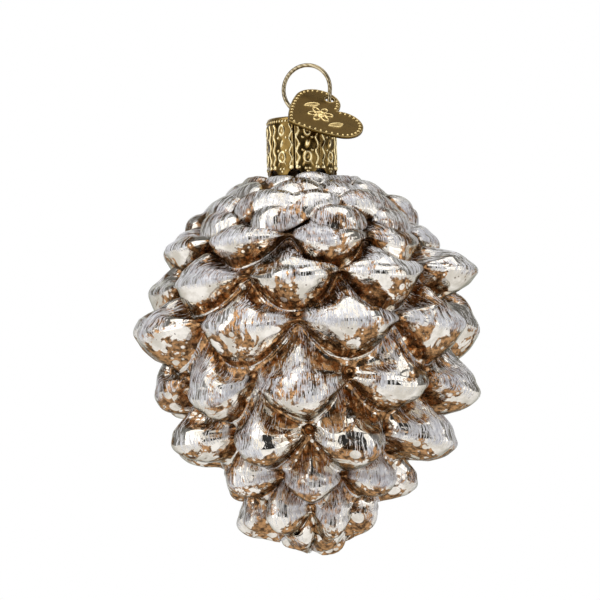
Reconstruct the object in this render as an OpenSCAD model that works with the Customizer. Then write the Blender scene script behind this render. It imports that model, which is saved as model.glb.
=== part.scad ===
// Blown glass pine cone ornament with a stamped brass cap, a sprung wire hanger and a heart tag.
// Millimetres, +Z up, front towards -Y. The origin is where a hook bears inside the top of the wire loop.

/* [Glass] */
// Widest size across the scales
cone_w = 76; // [60:1:95]
// Height from the shoulder under the cap to the tip
cone_h = 81; // [65:1:100]
// Thickness of the glass
glass_t = 0.8; // [0.7:0.05:1.2]
// Height of the open neck inside the cap
neck_h = 11.6; // [9:0.1:12]
// Samples round the outside of the glass
facets = 72; // [72:72:144]

/* [Scales] */
// Scales in each full row
scale_count = 9; // [7:1:11]
// How far a scale's side bulges before it meets its neighbour
lobe_power = 0.65; // [0.5:0.05:1]
// How far the lip of a scale sags between its ends
lip_power = 0.8; // [0.6:0.05:1.2]
// Radius of the rolled lip on the largest scales
lip_roll = 3.0; // [1.5:0.1:3.6]
// How much the scales of a row differ in reach, height and lean
scale_vary = 0.15; // [0:0.01:0.2]

/* [Cap] */
// Outside diameter of the cap
cap_d = 14.8; // [13:0.1:17]
// Height of the cap, with its lower lobes
cap_h = 12.6; // [11:0.1:15]
// Thickness of the stamped brass
cap_t = 0.35; // [0.25:0.05:0.5]
// Radius of the rounded top edge
cap_edge_r = 0.7; // [0.5:0.05:1]
// Number of embossed panels
panel_count = 8; // [6:1:10]
// Depth of the notches between the lower lobes
scallop_h = 1.2; // [0.6:0.1:1.8]
// How far the embossing stands out
emboss_h = 0.25; // [0.1:0.05:0.4]
// Width of the open side seam
seam_w = 0.3; // [0.2:0.05:0.5]

/* [Hanger wire] */
// Diameter of the wire
wire_d = 0.9; // [0.7:0.05:1.1]
// Width of the loop, between the middles of its two sides
loop_w = 10.5; // [8:0.1:13]
// Length of the straight side of the loop, which carries the tag
loop_side = 2.4; // [2.2:0.1:4]
// Radius of the bend from the loop into each leg
leg_bend_r = 1.0; // [0.8:0.05:1.5]
// Distance between the two legs where they leave the loop
leg_gap = 3.0; // [2.4:0.1:4]
// Height of the loop above the top of the cap
leg_rise = 0.3; // [0.2:0.1:3]
// Angle that each leg springs outwards inside the neck
leg_splay = 14; // [6:0.5:15]
// Length of the sprung part of each leg
leg_l = 20; // [14:0.5:26]
// Sideways lean of the whole hanger in the neck
wire_lean = 4.2; // [0:0.1:5]
// Turn of the loop about the upright axis, its tag side to the front
hanger_turn = 17.5; // [0:0.5:20]

/* [Heart tag] */
// Radius of each lobe of the heart
lobe_r = 5.0; // [4:0.1:6]
// Distance from the middle of the heart to the middle of each lobe
lobe_x = 4.5; // [3.4:0.05:4.8]
// Distance from the middles of the lobes to the point
tip_l = 10.5; // [9:0.1:13]
// How far the long sides bow outwards
side_bow = 0.6; // [0:0.05:1]
// Thickness of the stamped sheet
tag_t = 0.5; // [0.4:0.05:0.6]
// Diameter of the hole in the tag
tag_hole_d = 2.45; // [2.3:0.05:2.6]
// Diameter of each bead in the border
bead_d = 0.55; // [0.4:0.05:0.7]
// Distance from the edge to the middle of the beads
bead_inset = 0.75; // [0.6:0.05:1]
// Beads along one half of the border
bead_count = 22; // [12:1:30]
// Distance from the edge to the middle of the hole
hole_inset = 1.9; // [1.7:0.05:2.5]
// Height of the raised flower and leaves on the tag
motif_h = 0.2; // [0.1:0.05:0.3]
// Height of the tag on the straight side of the loop, down from its upper end
tag_drop = 2.4; // [1:0.1:2.4]
// Angle between the tag's sheet and the square cut of the wire
tag_tilt = 38.5; // [30:0.5:46]
// Swing of the tag round the wire where it hangs
tag_swing = 31; // [24:1:36]
// Turn of the heart in its own plane
tag_turn = -66; // [-80:1:-40]

/* [Fits] */
// Gap between the cap and the glass
seat_gap = 0.3; // [0.2:0.05:0.4]
// Gap between the wire and the holes in the cap
wire_gap = 0.4; // [0.2:0.05:0.6]

/* [Hidden] */

// Places of the pieces, from the hook point down.
wire_r = wire_d / 2;
loop_r = loop_w / 2;
hook_to_loop = loop_r - wire_r;
bend_x = leg_gap / 2 + leg_bend_r;
corner_r = loop_r - bend_x;
leg_start = loop_side + corner_r + leg_bend_r;
round_drop = sqrt(pow(loop_r + leg_bend_r, 2) - bend_x * bend_x);
round_angle = atan2(round_drop, bend_x);
hook_up = hook_to_loop + leg_start + leg_rise + cap_h + seat_gap;
axis_x = -hook_up * sin(wire_lean);
shoulder_z = -hook_up * cos(wire_lean);
tip_z = shoulder_z - cone_h;
cap_bottom_z = shoulder_z + seat_gap;
cap_top_z = cap_bottom_z + cap_h;
cap_r = cap_d / 2;
neck_r = cap_r - cap_t - seat_gap;
neck_top_z = min(shoulder_z + neck_h, cap_top_z - cap_t - seat_gap);
fine = 96;
round_fn = 48;

// Rows of scales from the neck to the tip. Each reach is a share of the half width, in percent. Each drop is a
// share of the height, in percent, down from the shoulder.
// [scales less than a full row, turn, lip reach, lip drop, foot reach, foot drop, notch reach, notch drop,
//  roll, belly, flare, sway, tilt, foot curve]
ROWS = [
    [0, 13, 31.0, 2.0, 27.5, 3.6, 25.5, 1.6, 0.45, 0.3, 0, 0, 0, 2],
    [0, -11, 41.5, 4.6, 37.0, 7.0, 34.5, 4.1, 0.6, 0.3, 0, 0, 0, 2],
    [0, 11, 51.5, 8.0, 47.0, 11.3, 44.0, 7.2, 0.75, 0.3, 0, 0, 0, 2],
    [0, -16, 63.0, 12.8, 57.5, 17.5, 53.5, 11.0, 0.95, 0.3, 0, 0, 0, 2],
    [0, 13, 79.5, 19.2, 72.0, 26.7, 62.5, 17.0, 1.05, 0.3, 0, 5, 0, 2],
    [0, -5, 92.5, 28.3, 79.5, 37.6, 72.5, 26.7, 1.05, 0.35, 0.2, -4.5, -1.6, 2.2],
    [0, 17, 100, 41.0, 78.0, 51.5, 78.5, 39.0, 1, 0.4, 0.4, 0, 0, 2.2],
    [0, -3, 95.0, 58.5, 67.0, 64.5, 69.5, 53.6, 0.85, 0.7, 0.8, -5, 0, 2],
    [0, 20, 84.0, 72.3, 52.0, 77.0, 54.5, 67.5, 0.8, 0.8, 0.8, -3, 0, 2],
    [1, 2, 58.5, 82.2, 37.5, 86.2, 38.5, 78.7, 0.7, 0.8, 0.8, -1.5, 0, 2],
    [1, 24, 42.0, 91.7, 20.0, 96.0, 28.5, 88.0, 0.85, 0.8, 0.2, 4.5, 0, 2],
    [4, -30, 20.5, 96.8, 7.0, 100, 12.5, 95.0, 0.7, 0.6, 0, 0, 0, 2]
];
SHORT = 0;
TURN = 1;
LIP_R = 2;
LIP_Z = 3;
FOOT_R = 4;
FOOT_Z = 5;
NOTCH_R = 6;
NOTCH_Z = 7;
ROLL = 8;
BELLY = 9;
FLARE = 10;
SWAY = 11;
TILT = 12;
CURVE = 13;

// Height of the dimple at the tip, as a share of the height.
POLE_DROP = 98.9;
// How sharply the foot of a scale draws in at its ends.
FOOT_POWER = 1.3;
// Depth of the crease between two scales of a row.
CREASE = 0.35;
// Least radius of a lip, at the ends of a scale.
END_ROLL = 0.17;
// Bulge of the roll above the lip, as a share of its radius.
ROLL_BULGE = 0.35;
// Largest hollow of a scale's upper face.
FLARE_D = 1.1;
// Steps of the irregular pattern from scale to scale and from row to row, in degrees.
VARY_SCALE = 243;
VARY_ROW = 38;
// The pattern's terms for reach, height and lean, and how strongly each one works.
REACH_TERM = 1;
DROP_TERM = 2;
LEAN_TERM = 3;
VARY_LEAN = 1.5;
VARY_LIP = 2;
VARY_FOOT = 0.8;
// Places along the underside, from the lip to the foot.
BELLY_STEPS = [0.4, 0.72];
// Rings of one row of scales: all of them outside on a large row, fewer on a small row, and those inside.
LARGE_ROW = [0, 1, 2, 3, 4, 5];
SMALL_ROW = [1, 2, 5];
FIRST_LARGE = 4;
IN_RINGS = 3;
// The inside of the glass is sampled at every second place.
in_facets = facets / 2;

function reach(p) = p / 100 * cone_w / 2;
function drop(p) = shoulder_z - p / 100 * cone_h;
function unit(v) = v / norm(v);
function scales_in(row) = max(scale_count - row[SHORT], 4);

// The number of a scale in its row, and how it differs from its neighbours: -1 to 1, times the chosen share.
function scale_no(row, phi) =
    floor((phi - row[TURN] + 720) * scales_in(row) / 360 + 0.5) % scales_in(row);
function vary(row, phi, which) =
    scale_vary * sin(which * (VARY_SCALE * scale_no(row, phi) + VARY_ROW * row[LIP_Z]));

// Where a direction lies on a scale of its row: 0 at the middle, 1 at the crease with the next scale.
function off_middle(row, phi) =
    let(pitch = 360 / scales_in(row), a = ((phi - row[TURN] + pitch / 2 + 720) % pitch) / (pitch / 2) - 1)
    abs(a + VARY_LEAN * vary(row, phi, LEAN_TERM) * (1 - a * a));
function lobe(a) = max(0, 1 - a * a);

function sway(row, phi) = -reach(row[SWAY]) * sin(phi);
function row_lift(row, phi) = -row[TILT] / 100 * cone_h * sin(phi);

// The lip, the farthest line of a scale.
function lip(row, phi, a) =
    let(far = reach(row[LIP_R]) + sway(row, phi), notch = reach(row[NOTCH_R]))
    [notch + (far - notch) * pow(lobe(a), lobe_power) * (1 + vary(row, phi, REACH_TERM)),
     drop(row[NOTCH_Z]) + row_lift(row, phi) + (drop(row[LIP_Z]) - drop(row[NOTCH_Z]))
         * pow(lobe(a), lip_power) * (1 + VARY_LIP * vary(row, phi, DROP_TERM))];

// The foot, where the underside of a scale meets the row below.
function foot(row, phi, a) =
    let(notch_r = reach(row[NOTCH_R]) - CREASE, notch_z = drop(row[NOTCH_Z]) - CREASE)
    [notch_r + (reach(row[FOOT_R]) - notch_r) * (1 - pow(a, FOOT_POWER)),
     notch_z + row_lift(row, phi) + (drop(row[FOOT_Z]) - notch_z) * (1 - pow(a, row[CURVE]))
         * (1 + VARY_FOOT * vary(row, phi, DROP_TERM))];

// Direction from the lip up the slope of the scale.
function upslope(i, phi) =
    let(row = ROWS[i], from_r = i == 0 ? neck_r : reach(ROWS[i - 1][NOTCH_R]),
        from_z = i == 0 ? shoulder_z : drop(ROWS[i - 1][NOTCH_Z]))
    unit([from_r - reach(row[LIP_R]) - sway(row, phi), from_z - drop(row[LIP_Z])]);
function outward(slope) = [slope[1], -slope[0]];

// The shoulder, where the upper face turns into the rolled lip.
function roll_top(i, phi, a) =
    let(row = ROWS[i], slope = upslope(i, phi),
        roll = row[ROLL] * lip_roll * pow(lobe(a), lobe_power) + END_ROLL)
    lip(row, phi, a) + roll * (slope + ROLL_BULGE * outward(slope));

// The foot of the row above, where this row's upper face starts.
function start(i, phi) =
    i == 0 ? [neck_r, shoulder_z] : foot(ROWS[i - 1], phi, off_middle(ROWS[i - 1], phi));

function middle(i, phi, a) =
    (start(i, phi) + roll_top(i, phi, a)) / 2
    - outward(upslope(i, phi)) * FLARE_D * ROWS[i][FLARE] * lobe(a);

// The underside, a curve that leaves the lip straight down.
function belly(row, phi, a, t) =
    let(p = lip(row, phi, a), q = foot(row, phi, a), c = [p[0], p[1] + row[BELLY] * (q[1] - p[1])])
    pow(1 - t, 2) * p + 2 * t * (1 - t) * c + t * t * q;

// One point of the outside: row i, ring k of that row, direction phi.
function outside(i, k, phi) =
    let(row = ROWS[i], a = off_middle(row, phi))
    k == 0 ? middle(i, phi, a)
    : k == 1 ? roll_top(i, phi, a)
    : k == 2 ? lip(row, phi, a)
    : k == 3 ? belly(row, phi, a, BELLY_STEPS[0])
    : k == 4 ? belly(row, phi, a, BELLY_STEPS[1])
    : foot(row, phi, a);

// The inside follows the outside at the thickness of the glass, with narrower scales.
function in_off_middle(row, phi) =
    let(half = reach(row[NOTCH_R]) * PI / scales_in(row))
    min(1, off_middle(row, phi) / max(0.3, 1 - IN_NARROW * glass_t / half));
IN_NARROW = 1.2;
IN_LIP = 1.6;
IN_FOOT = 1.35;
function in_tilt(row) = IN_TILT_TOP + IN_TILT_SPAN * row[LIP_Z] / 100;
IN_TILT_TOP = -0.75;
IN_TILT_SPAN = 1.65;
function inside(i, k, phi) =
    let(row = ROWS[i], a = in_off_middle(row, phi))
    k == 0 ? middle(i, phi, a) - glass_t * outward(upslope(i, phi))
    : k == 1 ? lip(row, phi, a) + glass_t * [-IN_LIP, in_tilt(row)]
    : foot(row, phi, off_middle(row, phi)) + glass_t * [-IN_FOOT, in_tilt(row)];

function ring(p, phi) = [p[0] * sin(phi), -p[0] * cos(phi), p[1]];

// Profile of the neck: up the inside, over the fire-polished lip, and down the outside.
neck_in_r = neck_r - glass_t;
neck_lip_r = neck_r - glass_t / 2;
neck_edge = glass_t * 0.3;
in_neck = [
    [neck_in_r, shoulder_z - glass_t],
    [neck_in_r, neck_top_z - neck_edge]
];
out_neck = [
    [neck_lip_r, neck_top_z],
    [neck_r, neck_top_z - neck_edge],
    [neck_r, shoulder_z]
];

rows = len(ROWS);
function rings_of(i) = i < FIRST_LARGE || i == rows - 1 ? SMALL_ROW : LARGE_ROW;
in_pole = drop(POLE_DROP) + IN_LIP * glass_t;
in_points = concat(
    [[0, 0, in_pole]],
    [for (i = [rows - 1:-1:0], k = [IN_RINGS - 1:-1:0], j = [0:in_facets - 1])
        ring(inside(i, k, j * 360 / in_facets), j * 360 / in_facets)],
    [for (p = in_neck, j = [0:in_facets - 1]) ring(p, j * 360 / in_facets)]
);
out_points = concat(
    [for (p = out_neck, j = [0:facets - 1]) ring(p, j * 360 / facets)],
    [for (i = [0:rows - 1], k = rings_of(i), j = [0:facets - 1])
        ring(outside(i, k, j * 360 / facets), j * 360 / facets)],
    [[0, 0, drop(POLE_DROP)]]
);
in_rings = rows * IN_RINGS + len(in_neck);
large_rows = rows - 1 - FIRST_LARGE;
out_rings = large_rows * len(LARGE_ROW) + (rows - large_rows) * len(SMALL_ROW) + len(out_neck);
out_start = 1 + in_rings * in_facets;

function strip(first, count, n) = [
    for (q = [0:count - 2], j = [0:n - 1])
        let(a = first + q * n + j, b = first + q * n + (j + 1) % n)
        for (face = [[a, b, b + n], [a, b + n, a + n]]) face
];
in_fan = [for (j = [0:in_facets - 1]) [0, 1 + (j + 1) % in_facets, 1 + j]];
out_last = out_start + (out_rings - 1) * facets;
out_pole = out_start + out_rings * facets;
out_fan = [for (j = [0:facets - 1]) [out_last + j, out_last + (j + 1) % facets, out_pole]];
in_last = 1 + (in_rings - 1) * in_facets;
lip_strip = [
    for (j = [0:in_facets - 1])
        let(a = in_last + j, b = in_last + (j + 1) % in_facets, c = out_start + 2 * j,
            d = out_start + 2 * j + 1, e = out_start + (2 * j + 2) % facets)
        for (face = [[a, d, c], [a, b, d], [b, e, d]]) [face[0], face[2], face[1]]
];

module glass_cone() {
    color([0.80, 0.71, 0.60])
        translate([axis_x, 0, 0])
            polyhedron(
                points = concat(in_points, out_points),
                faces = concat(in_fan, strip(1, in_rings, in_facets), lip_strip,
                    strip(out_start, out_rings, facets), out_fan),
                convexity = 12
            );
}

// The cap is a deep-drawn cup with a lobed lower edge and embossed panels.
panel_step = 360 / panel_count;
panel_first = 10;
seam_at = -12.5;
scallop_r = 1.8;
rib_r = 0.22;
rib_sink = 0.05;
rib_spread = panel_step * 0.34;
motif_r = 0.95;
motif_bore_r = 0.5;
motif_step = 3;
petal_r = 0.4;
petal_count = 5;
wire_hole_r = wire_r + wire_gap;
hole_shift = (cap_h + seat_gap) * tan(wire_lean);
through = 2;

module cap_cup() {
    rotate_extrude($fn = fine)
        difference() {
            union() {
                translate([0, cap_bottom_z])
                    square([cap_r - cap_edge_r, cap_h]);
                translate([0, cap_bottom_z])
                    square([cap_r, cap_h - cap_edge_r]);
                translate([cap_r - cap_edge_r, cap_top_z - cap_edge_r])
                    circle(r = cap_edge_r, $fn = round_fn);
            }
            translate([0, cap_bottom_z - through])
                square([cap_r - cap_t, cap_h - cap_t + through]);
        }
}

module around_panels(shift = 0) {
    for (i = [0:panel_count - 1])
        rotate([0, 0, panel_first + shift + i * panel_step])
            children();
}

// Puts its children on the front of the cap's wall, facing out, at a depth below the top.
module on_wall(depth) {
    translate([0, -(cap_r + emboss_h), cap_top_z - depth])
        rotate([-90, 0, 0])
            children();
}

module boss(radius) {
    cylinder(r = radius, h = emboss_h + cap_t / 2, $fn = round_fn / 2);
}

module panel_ribs() {
    for (side = [-1, 1])
        rotate([0, 0, side * rib_spread])
            translate([0, -(cap_r - rib_sink), cap_bottom_z + scallop_h])
                cylinder(r = rib_r, h = cap_h - scallop_h - 2 * cap_edge_r, $fn = round_fn / 2);
}

// A ring, a lozenge and a flower, one above the other.
module panel_motifs() {
    on_wall(motif_step)
        difference() {
            boss(motif_r);
            translate([0, 0, -cap_t / 2])
                boss(motif_bore_r);
        }
    on_wall(2 * motif_step)
        cylinder(r = motif_r, h = emboss_h + cap_t / 2, $fn = 4);
    on_wall(3 * motif_step)
        for (i = [0:petal_count - 1])
            rotate([0, 0, i * 360 / petal_count])
                translate([0, motif_r - petal_r, 0])
                    boss(petal_r);
}

module cap() {
    color([0.62, 0.49, 0.22])
        translate([axis_x, 0, 0])
            difference() {
                union() {
                    cap_cup();
                    around_panels() {
                        panel_ribs();
                        panel_motifs();
                    }
                }
                // Notches between the lower lobes.
                around_panels(panel_step / 2)
                    translate([0, -cap_r - through / 2, cap_bottom_z + scallop_h - scallop_r])
                        rotate([-90, 0, 0])
                            cylinder(r = scallop_r, h = through, $fn = round_fn);
                // Side seam, open at the bottom.
                rotate([0, 0, seam_at])
                    translate([-seam_w / 2, -cap_r - through / 2, cap_bottom_z - through])
                        cube([seam_w, through, cap_h - 2 * cap_edge_r + through]);
                // Wire holes, in line with the turned loop.
                for (side = [-1, 1])
                    translate([hole_shift, 0, cap_top_z - cap_t - through / 2])
                        rotate([0, 0, -hanger_turn])
                            translate([side * leg_gap / 2, 0, 0])
                                cylinder(r = wire_hole_r, h = cap_t + through, $fn = round_fn);
            }
}

// The hanger, drawn upright with the middle of its loop's round top at the origin.
splay_bend_r = 2;
joint_r = wire_r * 1.02;

module wire_rod(length) {
    translate([0, 0, -length])
        cylinder(r = wire_r, h = length, $fn = round_fn);
}

module wire_arc(radius, from, angle) {
    rotate([90, 0, 0])
        rotate([0, 0, from])
            rotate_extrude(angle = angle, $fn = fine)
                translate([radius, 0])
                    circle(r = wire_r, $fn = round_fn);
}

module wire_joint() {
    sphere(r = joint_r, $fn = round_fn);
}

// One leg, from the loop's bend down through the cap, with its outward spring inside the neck.
module sprung_leg(bend_z) {
    translate([leg_gap / 2, 0, -bend_z]) {
        wire_joint();
        wire_rod(leg_start + leg_rise - bend_z);
    }
    translate([leg_gap / 2, 0, -leg_start - leg_rise]) {
        wire_joint();
        translate([splay_bend_r, 0, 0]) {
            wire_arc(splay_bend_r, 180, leg_splay);
            rotate([0, -leg_splay, 0])
                translate([-splay_bend_r, 0, 0]) {
                    wire_joint();
                    wire_rod(leg_l);
                    translate([0, 0, -leg_l])
                        wire_joint();
                }
        }
    }
}

// The side that carries the tag: straight, then a corner back to the leg.
module straight_side() {
    translate([loop_r, 0, 0]) {
        wire_joint();
        wire_rod(loop_side);
    }
    translate([loop_r, 0, -loop_side])
        wire_joint();
    translate([bend_x, 0, -loop_side])
        wire_arc(corner_r, -90, 90);
    translate([bend_x, 0, -loop_side - corner_r])
        wire_joint();
    translate([bend_x, 0, -leg_start])
        wire_arc(leg_bend_r, 90, 90);
    sprung_leg(leg_start);
}

// The other side: the round of the loop runs on to the bend into the leg.
module round_side() {
    translate([loop_r * cos(round_angle), 0, -loop_r * sin(round_angle)])
        wire_joint();
    translate([bend_x, 0, -round_drop])
        wire_arc(leg_bend_r, 180 - round_angle, round_angle);
    sprung_leg(round_drop);
}

module hanger_wire() {
    color([0.72, 0.66, 0.50])
        rotate([0, wire_lean, 0])
            rotate([0, 0, -hanger_turn])
                translate([0, 0, -hook_to_loop]) {
                    wire_arc(loop_r, 0, 180 + round_angle);
                    straight_side();
                    mirror([1, 0, 0])
                        round_side();
                }
}

// Half outline of the heart, from the notch round one lobe and down the bowed side to the point.
tip_reach = norm([lobe_x, tip_l]);
side_run = sqrt(tip_reach * tip_reach - lobe_r * lobe_r);
side_angle = acos(lobe_r / tip_reach) + atan2(tip_l, lobe_x) - 180 + atan(4 * side_bow / side_run);
notch_angle = 180 - acos(lobe_x / lobe_r);
lobe_share = 0.6;
function on_lobe(r, a) = [lobe_x + r * cos(a), r * sin(a)];
function on_side(r, s) =
    let(from = on_lobe(r, side_angle), to = [0, -tip_l + (lobe_r - r) * tip_reach / (2 * lobe_r)], d = unit(to - from))
    from + (to - from) * s + [-d[1], d[0]] * 4 * side_bow * s * (1 - s);
function heart_at(r, t) =
    t < lobe_share
    ? on_lobe(r, notch_angle + (side_angle - notch_angle) * t / lobe_share)
    : on_side(r, (t - lobe_share) / (1 - lobe_share));
heart_steps = 40;
heart_half = [for (i = [0:heart_steps]) heart_at(lobe_r, i / heart_steps)];
heart_points = concat(
    heart_half,
    [for (i = [heart_steps - 1:-1:1]) [-heart_half[i][0], heart_half[i][1]]]
);
hole_at = [-lobe_x, lobe_r - hole_inset];
bead_clear = tag_hole_d / 2 + bead_d;
flower_at = [0, -2.2];
flower_petal_r = 0.9;
flower_r = 1.7;
flower_petals = 6;
leaves_at = [[-3.9, -1.9], [4.6, -1.2]];
leaf_turn = 79;
leaf_l = 3.4;
leaf_w = 1.3;
leaf_round = (leaf_l * leaf_l + leaf_w * leaf_w) / (4 * leaf_w);

module tag_beads() {
    for (side = [-1, 1], i = [0:bead_count - 1])
        let(p = heart_at(lobe_r - bead_inset, (i + 0.5) / bead_count), q = [side * p[0], p[1]])
        if (norm(q - hole_at) > bead_clear)
            translate([q[0], q[1], 0])
                cylinder(d = bead_d, h = tag_t / 2 + bead_d / 3, $fn = 16);
}

module tag_flower() {
    translate([flower_at[0], flower_at[1], 0]) {
        cylinder(r = flower_petal_r, h = tag_t / 2 + 2 * motif_h, $fn = round_fn / 2);
        for (i = [0:flower_petals - 1])
            rotate([0, 0, i * 360 / flower_petals])
                translate([flower_r, 0, 0])
                    cylinder(r = flower_petal_r, h = tag_t / 2 + motif_h, $fn = round_fn / 2);
    }
}

module tag_leaves() {
    for (at = leaves_at)
        translate([at[0], at[1], 0])
            rotate([0, 0, leaf_turn])
                linear_extrude(height = tag_t / 2 + motif_h)
                    intersection() {
                        translate([0, leaf_round - leaf_w / 2])
                            circle(r = leaf_round, $fn = fine);
                        translate([0, leaf_w / 2 - leaf_round])
                            circle(r = leaf_round, $fn = fine);
                    }
}

module tag_sheet() {
    difference() {
        translate([0, 0, -tag_t / 2])
            linear_extrude(height = tag_t)
                polygon(heart_points);
        translate([hole_at[0], hole_at[1], -tag_t])
            cylinder(d = tag_hole_d, h = 2 * tag_t, $fn = round_fn);
    }
    tag_beads();
    tag_flower();
    tag_leaves();
}

// The tag hangs on the straight right side of the loop and leans back on the cap.
module heart_tag() {
    color([0.66, 0.53, 0.26])
        rotate([0, wire_lean, 0])
            rotate([0, 0, -hanger_turn])
                translate([loop_r, 0, -hook_to_loop - tag_drop])
                    rotate([0, 0, tag_swing])
                        rotate([tag_tilt, 0, 0])
                            rotate([0, 0, tag_turn])
                                translate([-hole_at[0], -hole_at[1], 0])
                                    tag_sheet();
}

glass_cone();
cap();
hanger_wire();
heart_tag();
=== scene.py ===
"""Looks of the pine cone ornament: silvered glass skin, stamped brass cap, hanger wire and heart tag.

The skins follow the solids' own formulas in finer steps and take their place in the picture. Sizes are in mm, as in
part.scad, and heights count from the point where the wire loop hangs.
"""
import math

import bpy
import numpy as np
from mathutils import Matrix, Vector, geometry


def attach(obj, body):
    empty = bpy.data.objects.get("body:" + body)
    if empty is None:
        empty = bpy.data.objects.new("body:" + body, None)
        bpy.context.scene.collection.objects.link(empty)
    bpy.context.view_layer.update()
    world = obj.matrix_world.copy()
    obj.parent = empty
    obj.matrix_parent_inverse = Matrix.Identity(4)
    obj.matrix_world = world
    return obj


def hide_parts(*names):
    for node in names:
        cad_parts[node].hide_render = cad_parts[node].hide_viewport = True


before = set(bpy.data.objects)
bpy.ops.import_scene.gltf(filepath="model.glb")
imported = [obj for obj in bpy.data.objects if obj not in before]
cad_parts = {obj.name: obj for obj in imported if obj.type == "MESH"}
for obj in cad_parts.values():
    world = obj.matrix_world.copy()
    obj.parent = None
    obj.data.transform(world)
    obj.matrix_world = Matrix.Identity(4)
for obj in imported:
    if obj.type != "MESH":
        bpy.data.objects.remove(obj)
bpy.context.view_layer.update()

MM = 0.001
TINY = 1e-9

# Sizes shared with the solids.
CONE_W = 76.0
CONE_H = 81.0
GLASS_T = 0.8
NECK_H = 11.6
CAP_R = 7.4
CAP_H = 12.6
CAP_T = 0.35
CAP_EDGE = 0.7
SEAT_GAP = 0.3
WIRE_R = 0.45
LOOP_R = 5.25
LEG_HALF = 1.5
HOOK_UP = 24.15
LEAN = math.radians(4.2)
HANGER_TURN = math.radians(-17.5)

NECK_R = CAP_R - CAP_T - SEAT_GAP
AXIS_X = -HOOK_UP * math.sin(LEAN)
SHOULDER_Z = -HOOK_UP * math.cos(LEAN)
CAP_TOP = SHOULDER_Z + SEAT_GAP + CAP_H

# The rows of scales, as in the solids, in percent of the cone's half width and of its height: short of scales,
# turn in degrees, lip reach and drop, foot reach and drop, notch reach and drop, roll, belly, flare, sway, tilt,
# and the curve of the foot.
ROWS = [
    (0, 13, 31.0, 2.0, 27.5, 3.6, 25.5, 1.6, 0.45, 0.3, 0, 0, 0, 2),
    (0, -11, 41.5, 4.6, 37.0, 7.0, 34.5, 4.1, 0.6, 0.3, 0, 0, 0, 2),
    (0, 11, 51.5, 8.0, 47.0, 11.3, 44.0, 7.2, 0.75, 0.3, 0, 0, 0, 2),
    (0, -16, 63.0, 12.8, 57.5, 17.5, 53.5, 11.0, 0.95, 0.3, 0, 0, 0, 2),
    (0, 13, 79.5, 19.2, 72.0, 26.7, 62.5, 17.0, 1.05, 0.3, 0, 5, 0, 2),
    (0, -5, 92.5, 28.3, 79.5, 37.6, 72.5, 26.7, 1.05, 0.35, 0.2, -4.5, -1.6, 2.2),
    (0, 17, 100, 41.0, 78.0, 51.5, 78.5, 39.0, 1, 0.4, 0.4, 0, 0, 2.2),
    (0, -3, 95.0, 58.5, 67.0, 64.5, 69.5, 53.6, 0.85, 0.7, 0.8, -5, 0, 2),
    (0, 20, 84.0, 72.3, 52.0, 77.0, 54.5, 67.5, 0.8, 0.8, 0.8, -3, 0, 2),
    (1, 2, 58.5, 82.2, 37.5, 86.2, 38.5, 78.7, 0.7, 0.8, 0.8, -1.5, 0, 2),
    (1, 24, 42.0, 91.7, 20.0, 96.0, 28.5, 88.0, 0.85, 0.8, 0.2, 4.5, 0, 2),
    (4, -30, 20.5, 96.8, 7.0, 100, 12.5, 95.0, 0.7, 0.6, 0, 0, 0, 2),
]
TURN, LIP_REACH, LIP_DROP, NOTCH_REACH, NOTCH_DROP = 1, 2, 3, 6, 7
FIRST_LARGE = 4
SCALES = 9
LEAST_SCALES = 4
LOBE_POWER = 0.65
LIP_POWER = 0.8
LIP_ROLL = 3.0
POLE_DROP = 98.9
FOOT_POWER = 1.3
CREASE = 0.35
END_ROLL = 0.17
ROLL_BULGE = 0.35
FLARE_D = 1.1
BELLY_STEPS = (0.4, 0.72)

# The fixed pattern by which the scales of a row differ: strength, pattern, and what it does to lean, lip and foot.
VARY = 0.15
VARY_SCALE = 243
VARY_ROW = 38
VARY_LEAN = 1.5
VARY_LIP = 2
VARY_FOOT = 0.8
REACH_TERM, DROP_TERM, LEAN_TERM = 1, 2, 3

# A row has seven lines, numbered from the foot above over its face (1) and its lip (3) down to its own foot (6).
LIP_LINE = 3
LAST_LINE = 6

# Fineness of the glass skin: points in a ring, and rings after each line of a large and of a small row.
AROUND = 288
FINE_STEPS = (8, 8, 6, 5, 5, 4)
SMALL_STEPS = (3, 3, 3, 2, 2, 2)
SOFT_RINGS = sum(SMALL_STEPS) * FIRST_LARGE
LEAST_GAP = 1e-6

# How far the skin is blurred: passes down the small rows, and points round the small rows, large rows and lips.
SOFT_PASSES = 90
SMALL_BLUR = 2.2
LARGE_BLUR = 1.1
LIP_BLUR = 2.6
# How many lines off the lip its blur starts and is full.
LIP_NEAR = (1.5, 0.5)

# Uneven blowing: height, length, number of waves, seed.
LUMPS = (0.30, 11.0, 9, 5)
RIPPLES = (0.06, 3.6, 12, 8)
WAVE_SPREAD = (0.7, 1.5)

# Low forms on the large scales: height, place and half width. The first two and the last are placed across a scale,
# with 0 at its middle and 1 where it meets the next. The lip's bead and groove are placed by line.
FACE_RIDGE = (0.55, 0.0, 0.15)
FACE_HOLLOW = (-0.42, 0.48, 0.2)
LIP_BEAD = (0.22, 3.1, 0.5)
LIP_GROOVE = (-0.50, 2.15, 0.55)
JOINT_CREASE = (-0.55, 1.0, 0.085)
# Where these forms begin and are full: faces and creases by line, from either end, and lips by place across.
FACE_STARTS, FACE_ENDS = (0, 0.625), (1.9, 1.0)
CREASE_STARTS, CREASE_ENDS = (0.6, 1.4), (4.0, 3.2)
LIP_ENDS = (0.93, 0.81)

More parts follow.
